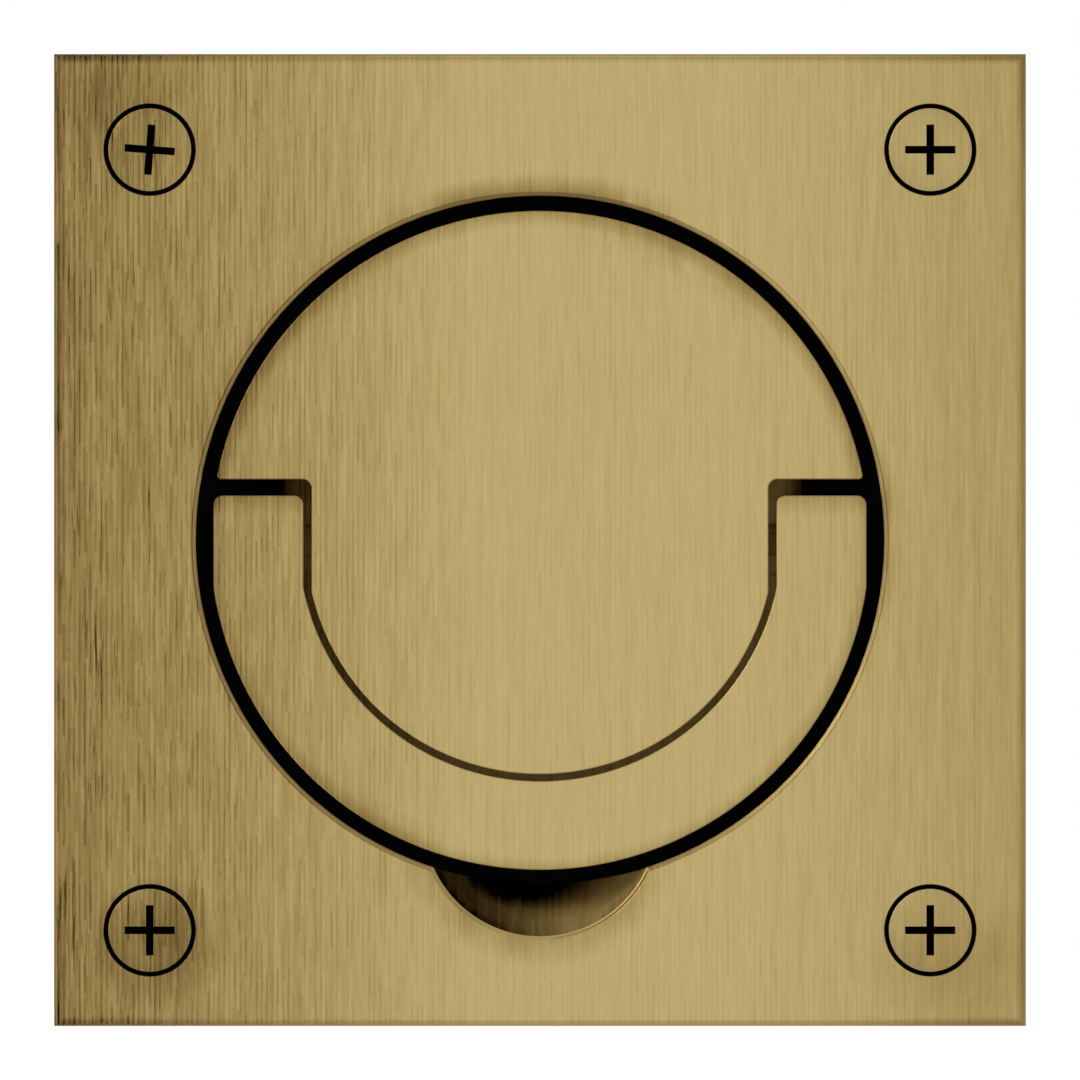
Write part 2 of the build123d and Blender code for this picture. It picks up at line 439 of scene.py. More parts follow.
@dataclass(frozen=True)
class BrushedBrass:
    """Satin brass, brushed upright, streaked towards the left, with painted shade at its sides, edges and
    gaps.

    The first fields are where the CAD parts have their edges, in millimetres. A shade is 0 on
    bright brass and 1 where it is nearly black.
    """

    opening_r: float = 22.5
    rim_break: float = 0.25
    notch_r: float = 7.7
    notch_z: float = -18.25
    collar_r: float = 26.5
    face_y: float = -3.0
    plate_half: float = 31.75
    gap_r: float = 21.55
    arm_top: float = 2.9
    ledge_x: float = 17.4
    screw_place: float = 25.5
    hole_r: float = 3.01

    roughness: float = 0.38
    blur: float = 0.02
    plain_shade: float = 0.06
    # Smoothly darker towards the left: partly patina, partly painted shade of the light falling off across
    # the face.
    left_side: Span = (-4.0, -31.0)
    left_shade: float = 0.325
    left_curve: float = 0.85
    # Darker towards the right: painted shade of the light falling off across the face.
    right_side: Fade = Fade(12.0, 30.0, 0.13)
    front: Span = (-0.5, -2.5)
    rough_side: Span = (-12.0, -27.0)
    mark_depth: Depth = Depth(0.045, 0.075)
    line_depth: Depth = Depth(0.08, 0.24)
    band_depth: Depth = Depth(0.14, 0.14)
    dash_depth: float = 0.4
    side_shade: Depth = Depth(0.14, 0.2)
    tool_mark_depth: float = 0.3

    # Painted shade along the rims of the block and the ring beside the gap, and at the ends of the arms.
    block_edge_width: float = 1.1
    block_edge_shade: float = 0.26
    ring_edge_width: float = 0.9
    ring_edge_shade: float = 0.18
    arm_end_shade: float = 0.15
    # Painted shade on the rounded border of the plate, of its own depth on each side.
    border_top: Fade = Fade(20.0, 31.0, 0.14)
    border_left: Fade = Fade(-20.0, -31.0, 0.17)
    border_right: Fade = Fade(20.0, 31.0, 0.16)
    border_bottom: Fade = Fade(-20.0, -31.0, 0.04)
    # Painted shade: fine dark lines round the chamfers of the opening and the notch, deeper at the sides of
    # the opening and at the right of the notch.
    line_half: float = 0.08
    rim_line_shade: float = 0.05
    rim_line_sides: Fade = Fade(0.0, 14.0, 0.31)
    notch_line_shade: float = 0.1
    notch_line_right: Fade = Fade(0.5, 4.5, 0.38)
    # Painted shade that dims the brightly lit right end of the notch's chamfer.
    painted_shade_notch_end: Span = (2.5, 7.0)
    painted_shade_notch_end_depth: float = 0.3
    # Painted highlight: the chamfers of the opening and the notch lose most of their darkening towards the
    # left.
    painted_highlight_side: Span = (8.0, 0.0)
    painted_highlight_share: float = 0.9

    # Painted shade below the face: on the wall of the opening, and on the ring and the block in the gaps.
    recess_shade: float = 0.85
    ring_gap_shade: float = 0.3
    block_gap_shade: float = 0.38
    # Painted shade in the slot above the arms; painted light beside the pins, against their cast shadow;
    # painted shade fading the ends of the ledge to black.
    wing_slot: Fade = Fade(2.2, 3.0, 0.06)
    beside_pin: Fade = Fade(2.8, 1.2, 0.2)
    ledge_end_width: float = 1.7
    ledge_end_shade: float = 0.5
    # Painted shade in the finger notch: on its walls near the rim, deeper down, and towards its left.
    dish_wall_shade: float = 0.04
    dish_wall_left: Fade = Fade(0.0, -3.0, 0.15)
    dish_wall_right: Fade = Fade(2.5, 4.5, 0.13)
    dish_depth: Fade = Fade(0.0, 3.0, 0.3)
    dish_left: Span = (2.0, -3.8)
    dish_left_shade: float = 0.68
    dish_mark_depth: float = 0.16

    stops: tuple[tuple[float, Colour], ...] = (
        (0.0, (0.86, 0.68, 0.295, 1.0)),
        (0.1, (0.80, 0.622, 0.257, 1.0)),
        (0.3, (0.597, 0.437, 0.162, 1.0)),
        (0.5, (0.41, 0.281, 0.091, 1.0)),
        (0.75, (0.19, 0.113, 0.031, 1.0)),
        (1.0, (0.004, 0.002, 0.001, 1.0)),
    )
    # Darker patches in three corners.
    corner_darkening: tuple[DarkPatch | PaintedShadeArc, ...] = (
        DarkPatch(-27.0, 28.0, 5.0, 5.0, 0.12),
        DarkPatch(-25.0, -26.2, 4.8, 4.4, 0.24),
        DarkPatch(27.0, -27.5, 6.0, 5.0, 0.12),
    )
    # Bands of painted shade round the opening and the notch, and dark stains at the left edge and by the
    # top-left screw.
    plate_stains_and_painted_shade: tuple[DarkPatch | PaintedShadeArc, ...] = (
        PaintedShadeArc(91.0, 26.0, 22.8, 1.3, 0.34),
        PaintedShadeArc(140.0, 40.0, 22.8, 0.9, 0.08),
        PaintedShadeArc(270.0, 100.0, 8.1, 1.7, 0.23, centre_z=-18.25),
        PaintedShadeArc(2.0, 16.0, 22.9, 0.8, 0.14),
        DarkPatch(-31.0, 16.0, 1.6, 5.0, 0.08),
        DarkPatch(-28.8, 28.9, 0.7, 3.0, 0.14),
    )
    # Bands of painted shade on the block and the ring beside the gap.
    recess_painted_shade: tuple[DarkPatch | PaintedShadeArc, ...] = (
        PaintedShadeArc(62.0, 24.0, 21.0, 2.0, 0.16),
        PaintedShadeArc(140.0, 30.0, 21.4, 2.0, 0.08),
        PaintedShadeArc(238.0, 16.0, 21.4, 1.6, 0.12),
    )
    # Painted shadow of the ring down the throat of the finger notch.
    throat: DarkPatch = DarkPatch(0.2, -21.9, 5.1, 2.4, 0.9)

    def stains_and_painted_shade(self, part: Part) -> tuple[DarkPatch | PaintedShadeArc, ...]:
        """Choose the dark patches, and the bands of painted shade, that lie on one part.

        Args:
            part: the part that the finish is for.

        Returns:
            Its patches and bands.
        """
        if part is Part.PLATE:
            return self.corner_darkening + self.plate_stains_and_painted_shade
        return self.corner_darkening if part is Part.SCREW else self.recess_painted_shade

    def brush_streaks_and_painted_shade(self, tree: Tree, place: Signal) -> Signal:
        """Streaks and shade of the brass: brushed upright on what faces forwards or back, and
        with the tool marks of turning and milling on its sides.

        Args:
            tree: the tree that the nodes go into.
            place: the point, in millimetres.

        Returns:
            0 on bright brass, 1 where it is nearly black.
        """
        x, y, _ = tree.axes(place)
        left = x.ramp(*self.left_side)
        rough_zone = x.ramp(*self.rough_side) * y.ramp(*self.front)
        marks = tree.brush_marks(place, width=0.12, length=2.2)
        marks = marks + tree.brush_marks(place, width=0.17, length=2.6)
        lines = tree.brush_lines(place, pitch=0.35, length=2.4)
        clusters = tree.noise(place, (2.2, 2.2, 3.0), 1.0).ramp(0.42, 0.62)
        dashes = tree.noise(place, (0.17, 0.17, 3.2), 1.0).ramp(0.58, 0.8) * clusters
        bands = tree.noise(place, (0.6, 0.6, 14.0)) - 0.5
        # Painted shade: the smooth darkening towards both sides stands in for the light falling off; the
        # marks are real brush marks.
        shade = self.plain_shade + self.left_shade * left**self.left_curve + self.right_side.at(x)
        shade = shade + marks * self.mark_depth.at(left) + lines * self.line_depth.at(left)
        shade = shade + dashes * rough_zone * self.dash_depth + bands * self.band_depth.at(left)
        tool_marks = tree.noise(place, (9.0, 0.13, 9.0)) - 0.5
        sides = self.side_shade.at(left) + tool_marks * self.tool_mark_depth
        return sides + (shade - sides) * self.faces_out(tree)

    @staticmethod
    def faces_out(tree: Tree) -> Signal:
        """1 where the surface faces forwards or back, and 0 on its sides."""
        _, normal_y, _ = tree.axes(tree.node("ShaderNodeTexCoord", output="Normal"))
        return abs(normal_y).ramp(0.35, 0.65)

    def in_notch(self, x: Signal, z: Signal) -> Signal:
        """Tell the dish of the finger notch from the rest.

        Args:
            x: place to the right, in millimetres.
            z: place upwards, in millimetres.

        Returns:
            1 inside the dish and 0 outside it.
        """
        dish = x.hypot(z - self.notch_z)
        within_collar = x.hypot(z).ramp(self.collar_r, self.collar_r - 0.2)
        return dish.ramp(self.notch_r + self.blur, self.notch_r - self.blur) * within_collar

    def edge_shade(self, part: Part, x: Signal, z: Signal) -> Signal | float:
        """Painted shade along the edges of the open faces.

        Args:
            part: the part that the finish is for.
            x: place to the right, in millimetres.
            z: place upwards, in millimetres.

        Returns:
            How much darker the brass is there.
        """
        if part is Part.PLATE:
            return self.plate_edges(x, z)
        if part is Part.SCREW:
            return 0.0
        radius = x.hypot(z)
        if part is Part.BLOCK:
            return radius.ramp(self.gap_r - self.block_edge_width, self.gap_r) * self.block_edge_shade
        ends = z.ramp(self.arm_top - 1.3, self.arm_top - 0.2) * self.arm_end_shade
        return radius.ramp(self.gap_r - self.ring_edge_width, self.gap_r) * self.ring_edge_shade + ends

    def plate_edges(self, x: Signal, z: Signal) -> Signal:
        """Painted shade along the border of the plate, and fine painted dark lines round its two openings.

        Args:
            x: place to the right, in millimetres.
            z: place upwards, in millimetres.

        Returns:
            How much darker the brass is there.
        """
        radius = x.hypot(z)
        notch = x.hypot(z - self.notch_z)
        border = abs(x).larger(abs(z)).ramp(self.plate_half - 0.65, self.plate_half - 0.3)
        sides = self.border_top.at(z) + self.border_left.at(x)
        border = border * (sides + self.border_right.at(x) + self.border_bottom.at(z))
        line = radius.near(self.opening_r + self.rim_break, self.line_half)
        line = line * notch.ramp(self.notch_r - 0.1, self.notch_r + 0.2)
        line = line * (self.rim_line_shade + self.rim_line_sides.at(abs(x)))
        notch_line = notch.near(self.notch_r + 0.11, self.line_half)
        notch_line = notch_line * radius.ramp(self.opening_r + 0.2, self.opening_r + 0.3)
        notch_line = notch_line * (self.notch_line_shade + self.notch_line_right.at(x))
        outer = self.notch_r + self.rim_break
        # Painted shade on the brightly lit right end of the notch's chamfer.
        painted_shade_notch_end = notch.ramp(self.notch_r - self.blur, self.notch_r + self.blur) * x.ramp(*self.painted_shade_notch_end)
        painted_shade_notch_end = painted_shade_notch_end * notch.ramp(outer + 2 * self.blur, outer)
        return border + line.larger(notch_line) + painted_shade_notch_end * self.painted_shade_notch_end_depth

    def painted_highlight_rim(self, x: Signal, z: Signal) -> Signal:
        """Find the chamfers of the opening and the notch, which lose their darkening towards the left as a
        painted highlight.

        Args:
            x: place to the right, in millimetres.
            z: place upwards, in millimetres.

        Returns:
            1 where the rim takes the painted highlight, and 0 elsewhere.
        """
        inside = self.rim_break - 0.06
        soft = 2 * self.blur
        opening = x.hypot(z).ramp(self.opening_r + inside + soft, self.opening_r + inside)
        scoop = x.hypot(z - self.notch_z).ramp(self.notch_r + inside + soft, self.notch_r + inside)
        return opening.larger(scoop) * x.ramp(*self.painted_highlight_side)

    def painted_gap_shade(self, tree: Tree, part: Part, place: Signal) -> Signal:
        """Painted shade inside the recess, the gaps and the screw holes.

        Args:
            tree: the tree that the nodes go into.
            part: the part that the finish is for.
            place: the point, in millimetres.

        Returns:
            0 on the open faces, up to 1 deep in a gap.
        """
        x, y, z = tree.axes(place)
        if part is Part.SCREW:
            # Painted shade in the cross recess and round the head in its countersink.
            return y.ramp(self.face_y + 0.06, self.face_y + 0.2) * y.ramp(0.4, -0.2)
        below = y.ramp(self.face_y + 0.12, self.face_y + 0.9)
        if part is Part.RING:
            return below * self.ring_gap_shade
        if part is Part.BLOCK:
            # Painted shade fading the ends of the ledge to black, deeper in the slot, and painted light
            # beside the pins.
            ledge_end = abs(x).ramp(self.ledge_x - self.ledge_end_width, self.ledge_x) ** 1.5
            ledge_end = ledge_end * self.ledge_end_shade
            behind = self.block_gap_shade + self.wing_slot.at(z) + ledge_end
            return below * (behind - self.beside_pin.at(abs(z)))
        # Painted shade on the wall of the opening and in the countersinks.
        recess = x.hypot(z).ramp(self.opening_r + 3 * self.blur, self.opening_r + self.blur)
        hole = (abs(x) - self.screw_place).hypot(abs(z) - self.screw_place)
        holes = hole.ramp(self.hole_r + 0.03, self.hole_r - 0.03) * y.ramp(-0.01, -0.1)
        in_dish = self.painted_dish_shade(tree, place)
        return (below * (recess * self.recess_shade)).larger(in_dish).larger(holes)

    def painted_dish_shade(self, tree: Tree, place: Signal) -> Signal:
        """Painted shade in the finger notch: on its floor, down its throat and under its rim, with brush
        marks on its floor.

        Args:
            tree: the tree that the nodes go into.
            place: the point, in millimetres.

        Returns:
            0 outside the dish, up to 1 in its throat.
        """
        x, y, z = tree.axes(place)
        rim_y = self.face_y + self.rim_break
        wall = self.dish_wall_shade + self.dish_wall_left.at(x) + self.dish_wall_right.at(x)
        wall = y.ramp(self.face_y + 1.9, self.face_y + 0.6) * wall
        floor = self.dish_depth.at(y) + x.ramp(*self.dish_left) ** 0.8 * self.dish_left_shade
        floor = floor + tree.brush_marks(place, width=0.22, length=2.6) * self.dish_mark_depth
        in_dish = self.in_notch(x, z) * (floor + self.throat.mask(x, z) + wall)
        return in_dish * y.ramp(rim_y, rim_y + 0.12)

    def material(self, name: str, part: Part) -> bpy.types.Material:
        """Make the finish for one part.

        Args:
            name: the material's name.
            part: the part that it is for.

        Returns:
            The material.
        """
        tree = Tree.of_material(name)
        place = tree.position()
        x, _, z = tree.axes(place)
        brush_streaks_and_painted_shade = self.brush_streaks_and_painted_shade(tree, place)
        if part is Part.PLATE:
            # Painted highlight: the chamfers lose most of their darkening towards the left.
            brush_streaks_and_painted_shade = brush_streaks_and_painted_shade * (1.0 - self.painted_highlight_rim(x, z) * self.painted_highlight_share)
        shade = brush_streaks_and_painted_shade + self.edge_shade(part, x, z)
        patches = tree.noise(place, (2.5, 2.5, 4.0)).ramp(0.05, 0.55)
        # Dark patches and bands of painted shade, broken up by the noise.
        for dark_patch in self.stains_and_painted_shade(part):
            shade = shade + dark_patch.mask(x, z) * patches
        shade = (shade + self.painted_gap_shade(tree, part, place)).clamped()
        stops = {"stops": list(self.stops)}
        colour = tree.node("ShaderNodeValToRGB", stops, {"Fac": shade}, "Color")
        roughness = self.roughness + shade * 0.2
        if part is Part.PLATE:
            roughness = roughness + self.in_notch(x, z) * 0.3
        facing = self.faces_out(tree)
        brushed = tree.noise(place, (0.07, 0.07, 6.0))
        turned = tree.noise(place, (6.0, 0.07, 6.0))
        hairlines = turned + (brushed - turned) * facing
        return tree.finish(
            {
                "Base Color": colour,
                "Metallic": 1.0,
                "Roughness": roughness,
                "Normal": tree.bump(hairlines, 0.004 * MM),
            }
        )


@dataclass(frozen=True)
class CoatedSteel:
    """Black powder-coated steel with a fine orange-peel skin, and painted shade that makes its faces inside
    the cup nearly black.
    """

    colour: Colour = (0.014, 0.014, 0.015, 1.0)
    worn: Colour = (0.026, 0.025, 0.024, 1.0)
    # Painted shade: the faces inside the deep cup are nearly black.
    inside: Colour = (0.0006, 0.0005, 0.0004, 1.0)
    floor_y: float = 6.0

    def material(self, name: str) -> bpy.types.Material:
        """Make the finish.

        Args:
            name: the material's name.

        Returns:
            The material.
        """
        tree = Tree.of_material(name)
        place = tree.position()
        _, y, _ = tree.axes(place)
        within = y.ramp(self.floor_y + 0.3, self.floor_y + 0.1)
        clouds = tree.noise(place, (6.0, 6.0, 6.0), detail=3.0).ramp(0.35, 0.75)
        skin = tree.noise(place, (0.25, 0.25, 0.25))
        outside = tree.blend(self.colour, self.worn, clouds)
        return tree.finish(
            {
                "Base Color": tree.blend(outside, self.inside, within),
                "Roughness": 0.55 + clouds * 0.12,
                "Specular IOR Level": 0.2,
                "Normal": tree.bump(skin, 0.02 * MM),
            }
        )


@dataclass(frozen=True)
class DarkSteel:
    """Dark brown-oxide steel, drawn along its length, with painted light that makes its upper and lower
    flanks lighter.
    """

    colour: Colour = (0.15, 0.086, 0.022, 1.0)
    # Painted light: the upper and lower flanks of the pins are lighter.
    flank: Colour = (0.34, 0.2, 0.055, 1.0)
    flank_from: float = 0.45
    flank_to: float = 0.95

    def material(self, name: str) -> bpy.types.Material:
        """Make the finish.

        Args:
            name: the material's name.

        Returns:
            The material.
        """
        tree = Tree.of_material(name)
        place = tree.position()
        _, _, z = tree.axes(place)
        drawn = tree.noise(place, (3.0, 0.1, 0.1))
        # Painted light on the upper and lower flanks.
        flanks = abs(z).ramp(self.flank_from, self.flank_to) + (drawn - 0.5) * 0.3
        return tree.finish(
            {
                "Base Color": tree.blend(self.colour, self.flank, flanks.clamped()),
                "Metallic": 0.3,
                "Specular IOR Level": 0.05,
                "Roughness": 0.65 + drawn * 0.15,
                "Normal": tree.bump(drawn, 0.005 * MM),
            }
        )


@dataclass(frozen=True)
class ZincPlate:
    """Zinc-plated steel with a faint mottle."""

    colour: Colour = (0.50, 0.51, 0.52, 1.0)
    dull: Colour = (0.30, 0.30, 0.29, 1.0)

    def material(self, name: str) -> bpy.types.Material:
        """Make the finish.

        Args:
            name: the material's name.

        Returns:
            The material.
        """
        tree = Tree.of_material(name)
        place = tree.position()
        mottle = tree.noise(place, (0.7, 0.7, 0.7), detail=4.0).ramp(0.4, 0.75)
        return tree.finish(
            {
                "Base Color": tree.blend(self.colour, self.dull, mottle),
                "Metallic": 1.0,
                "Roughness": 0.3 + mottle * 0.2,
                "Normal": tree.bump(mottle, 0.008 * MM),
            }
        )


def dress(piece: bpy.types.Object, material: bpy.types.Material) -> None:
    """Give every material slot of a piece one material.

    Args:
        piece: the object, made here or in CAD.
        material: its finish.
    """
    if not piece.material_slots:
        piece.data.materials.append(material)
    for slot in piece.material_slots:
        slot.link = "OBJECT"
        slot.material = material


# ---- meshes -----------------------------------------------------------------------------


def new_piece(name: str, mesh: bmesh.types.BMesh, smooth_below: float = 35.0) -> bpy.types.Object:
    """Turn a mesh in the making into an object of the scene.

    Args:
        name: the piece's name.
        mesh: its faces, in metres; it is freed.
        smooth_below: edges that turn by this many degrees or more stay sharp.

    Returns:
        The new object.
    """
    bmesh.ops.recalc_face_normals(mesh, faces=mesh.faces)
    for face in mesh.faces:
        face.smooth = True
    for edge in mesh.edges:
        if len(edge.link_faces) == 2:
            edge.smooth = edge.calc_face_angle() < math.radians(smooth_below)
    data = bpy.data.meshes.new(name)
    mesh.to_mesh(data)
    mesh.free()
    piece = bpy.data.objects.new(name, data)
    bpy.context.scene.collection.objects.link(piece)
    return piece


def add_turned(mesh: bmesh.types.BMesh, profile: Profile, columns: int) -> None:
    """Add a closed turned body about the Y axis.

    Args:
        mesh: the mesh that it is added to.
        profile: radius and Y of each ring, in metres; the first and last have no radius.
        columns: faces round the axis.
    """
    rows = []
    for radius, y in profile:
        if radius == 0.0:
            rows.append([mesh.verts.new((0.0, y, 0.0))])
            continue
        turns = [FULL_TURN * step / columns for step in range(columns)]
        rows.append([mesh.verts.new((radius * math.cos(t), y, radius * math.sin(t))) for t in turns])
    for low, high in zip(rows, rows[1:]):
        for step in range(columns):
            corners = [low[step % len(low)], low[(step + 1) % len(low)]]
            corners += [high[(step + 1) % len(high)], high[step % len(high)]]
            mesh.faces.new(list(dict.fromkeys(corners)))


@dataclass(frozen=True)
class Thread:
    """A screw thread about the Y axis, in metres."""

    core_r: float
    crest_r: float
    pitch: float
    y_start: float
    y_end: float
    taper: float = 0.0
    crest_share: float = 0.4
    columns: int = 48
    rows_per_turn: int = 12

    def radius(self, y: float, phase: float) -> float:
        """Radius at a place.

        Args:
            y: the place along the axis.
            phase: 0 to 1 through the thread's section.

        Returns:
            The radius there; it runs out to nothing in the taper.
        """
        crest = max(0.0, 1.0 - abs(phase - 0.5) / (self.crest_share / 2))
        size = self.core_r + (self.crest_r - self.core_r) * crest
        if self.taper == 0.0:
            return size
        left = max(0.0, min(1.0, (self.y_end - y) / self.taper))
        return min(self.crest_r * left, self.core_r * left**0.8 + (size - self.core_r) * left)

    def add_to(self, mesh: bmesh.types.BMesh) -> None:
        """Add the thread as one closed skin. Each row of its grid is a turn of the helix, so the
        last column of a row meets the first column of the row one turn on.

        Args:
            mesh: the mesh that it is added to.
        """
        turns = (self.y_end - self.y_start) / self.pitch
        rows = math.ceil(turns * self.rows_per_turn)
        columns = range(self.columns)
        grid = [[self._corner(mesh, row, column) for column in columns] for row in range(rows + 1)]
        last, turn = self.columns - 1, self.rows_per_turn
        for low, high in zip(grid, grid[1:]):
            for column in range(last):
                mesh.faces.new((low[column], low[column + 1], high[column + 1], high[column]))
        for row in range(rows - turn):
            upper = row + turn
            mesh.faces.new((grid[row][last], grid[upper][0], grid[upper + 1][0], grid[row + 1][last]))
        near_end = grid[0] + [grid[row][0] for row in range(turn, 0, -1)]
        far_end = grid[rows][::-1] + [grid[row][last] for row in range(rows - turn, rows)]
        self._cap(mesh, near_end, self.y_start)
        self._cap(mesh, far_end, self.y_end)

    def _corner(self, mesh: bmesh.types.BMesh, row: int, column: int) -> bmesh.types.BMVert:
        """Add one vertex of the helical grid.

        Args:
            mesh: the mesh that it is added to.
            row: its row along the thread.
            column: its column round the axis.

        Returns:
            The vertex.
        """
        turn = column / self.columns
        y = self.y_start + self.pitch * (row / self.rows_per_turn + turn)
        y = min(y, self.y_end)
        radius = self.radius(y, (row / self.rows_per_turn) % 1.0)
        angle = FULL_TURN * turn
        return mesh.verts.new((radius * math.cos(angle), y, radius * math.sin(angle)))

    def _cap(self, mesh: bmesh.types.BMesh, loop: list[bmesh.types.BMVert], y: float) -> None:
        """Close an end with a fan of faces.

        Args:
            mesh: the mesh that they are added to.
            loop: the open edge's vertices in order.
            y: where the middle of the fan lies along the axis.
        """
        centre = mesh.verts.new((0.0, y, 0.0))
        for here, there in zip(loop, loop[1:] + loop[:1]):
            mesh.faces.new((here, there, centre))


# ---- the screws -------------------------------------------------------------------------


@dataclass(frozen=True)
class MountingScrew:
    """Countersunk wood screw with a cross recess, in place of one CAD node."""

    node: str
    turn_deg: float = 0.0
    land: float = 0.27 * MM
    edge: float = 0.05 * MM
    shank_r: float = 1.3 * MM
    core_r: float = 0.95 * MM
    thread_r: float = 1.5 * MM
    pitch: float = 1.35 * MM
    point: float = 2.0 * MM
    cross_span: float = 3.3 * MM
    cross_width: float = 0.5 * MM
    cross_depth: float = 1.1 * MM
    floor_span: float = 0.72
    floor_width: float = 0.8
    cutter_rise: float = 0.4 * MM
    columns: int = 96

    def build(self) -> bpy.types.Object:
        """Make the screw in its place.

        Returns:
            The piece, which stands for the CAD node.
        """
        low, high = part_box(self.node)
        x, z = (low[0] + high[0]) / 2, (low[2] + high[2]) / 2
        face_y, tip_y = low[1], high[1]
        head = self._head(face_y, (high[0] - low[0]) / 2)
        thread = bmesh.new()
        Thread(self.core_r, self.thread_r, self.pitch, 0.0, tip_y, self.point).add_to(thread)
        bmesh.ops.remove_doubles(thread, verts=thread.verts, dist=WELD)
        bmesh.ops.dissolve_degenerate(thread, edges=thread.edges, dist=WELD)
        part = bpy.data.meshes.new("thread")
        thread.to_mesh(part)
        thread.free()
        whole = bmesh.new()
        whole.from_mesh(head)
        whole.from_mesh(part)
        place = Matrix.Translation((x, 0.0, z)) @ Matrix.Rotation(math.radians(self.turn_deg), 4, "Y")
        bmesh.ops.transform(whole, matrix=place, verts=whole.verts)
        for spare in (head, part):
            bpy.data.meshes.remove(spare)
        piece = new_piece(self.node + "_threaded", whole)
        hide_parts(self.node)
        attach(piece, "body")
        return piece

    def _head(self, face_y: float, head_r: float) -> bpy.types.Mesh:
        """Make the head and shank, with the cross cut out of them.

        Args:
            face_y: Y of the head's face.
            head_r: radius of the head.

        Returns:
            Their mesh.
        """
        cone_y = face_y + self.land
        shank_y = cone_y + head_r - self.shank_r
        end_y = self.shank_r - self.core_r
        turned = bmesh.new()
        profile = [
            (0.0, face_y),
            (head_r - self.edge, face_y),
            (head_r - self.edge * 0.3, face_y + self.edge * 0.3),
            (head_r, face_y + self.edge),
            (head_r, cone_y),
            (self.shank_r, shank_y),
            (self.shank_r, 0.0),
            (self.core_r * 0.9, end_y),
            (0.0, end_y),
        ]
        add_turned(turned, profile, self.columns)
        body = new_piece("head_blank", turned)
        cutter = new_piece("cross_cutter", self._cross(face_y))
        cut = body.modifiers.new("cross", "BOOLEAN")
        cut.operation = "DIFFERENCE"
        cut.solver = "EXACT"
        cut.object = cutter
        bpy.context.view_layer.update()
        made = bpy.data.meshes.new_from_object(body.evaluated_get(bpy.context.evaluated_depsgraph_get()))
        for spare in (body, cutter):
            bpy.data.objects.remove(spare)
        return made

    def _cross(self, face_y: float) -> bmesh.types.BMesh:
        """Make the cutter for the cross recess, narrower at its floor.

        Args:
            face_y: Y of the head's face.

        Returns:
            The cutter, which stands out in front of the face.
        """
        cutter = bmesh.new()
        rings = []
        levels = (
            (face_y - self.cutter_rise, 1.0, 1.0),
            (face_y, 1.0, 1.0),
            (face_y + self.cross_depth, self.floor_span, self.floor_width),
        )
        for y, span_share, width_share in levels:
            arm, half = self.cross_span / 2 * span_share, self.cross_width / 2 * width_share
            quarter = [(arm, -half), (arm, half), (half, half)]
            ring = []
            for step in range(4):
                c, s = (1, 0, -1, 0)[step], (0, 1, 0, -1)[step]
                ring += [cutter.verts.new((c * u - s * v, y, s * u + c * v)) for u, v in quarter]
            rings.append(ring)
        for low, high in zip(rings, rings[1:]):
            for here in range(len(low)):
                there = (here + 1) % len(low)
                cutter.faces.new((low[here], low[there], high[there], high[here]))
        cutter.faces.new(rings[0])
        cutter.faces.new(rings[-1])
        return cutter


@dataclass(frozen=True)
class BackScrew:
    """Hexagon-head machine screw at the rear, in place of one CAD node."""

    node: str
    height: float
    thread_r: float
    pitch: float
    chamfer_from: float = 0.94
    chamfer_deg: float = 30.0
    columns: int = 72

    def build(self) -> bpy.types.Object:
        """Make the screw in its place.

        Returns:
            The piece, which stands for the CAD node.
        """
        low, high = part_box(self.node)
        x, z = (low[0] + high[0]) / 2, (low[2] + high[2]) / 2
        seat_y = high[1] - self.height
        mesh = bmesh.new()
        self._add_head(mesh, (high[2] - low[2]) / 2, seat_y, high[1])
        core_r = self.thread_r - 0.6 * self.pitch
        neck_y, inside_y = seat_y - self.pitch, seat_y + self.height / 2
        add_turned(mesh, [(0.0, neck_y), (core_r, neck_y), (core_r, inside_y), (0.0, inside_y)], self.columns)
        thread_end = seat_y - 0.1 * MM
        thread = Thread(core_r, self.thread_r, self.pitch, low[1], thread_end, columns=36, rows_per_turn=8)
        thread.add_to(mesh)
        bmesh.ops.transform(mesh, matrix=Matrix.Translation((x, 0.0, z)), verts=mesh.verts)
        piece = new_piece(self.node + "_threaded", mesh, smooth_below=20.0)
        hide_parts(self.node)
        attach(piece, "body")
        return piece

    def _add_head(self, mesh: bmesh.types.BMesh, apothem: float, seat_y: float, top_y: float) -> None:
        """Add the hexagon, with its outer corners turned off.

        Args:
            mesh: the mesh that it is added to.
            apothem: half its width across the flats.
            seat_y: Y of its seat.
            top_y: Y of its top.
        """
        flat_r = apothem * self.chamfer_from
        sector = FULL_TURN / 6
        seat, rim, top = [], [], []
        for step in range(self.columns):
            angle = FULL_TURN * step / self.columns
            from_flat = angle % sector - sector / 2
            radius = apothem / math.cos(from_flat)
            c, s = math.cos(angle), math.sin(angle)
            drop = (radius - flat_r) * math.tan(math.radians(self.chamfer_deg))
            seat.append(mesh.verts.new((radius * c, seat_y, radius * s)))
            rim.append(mesh.verts.new((radius * c, top_y - drop, radius * s)))
            top.append(mesh.verts.new((flat_r * c, top_y, flat_r * s)))
        for low, high in ((seat, rim), (rim, top)):
            for here in range(self.columns):
                there = (here + 1) % self.columns
                mesh.faces.new((low[here], low[there], high[there], high[here]))
        mesh.faces.new(seat)
        mesh.faces.new(top)


# ---- the sub-assemblies -----------------------------------------------------------------


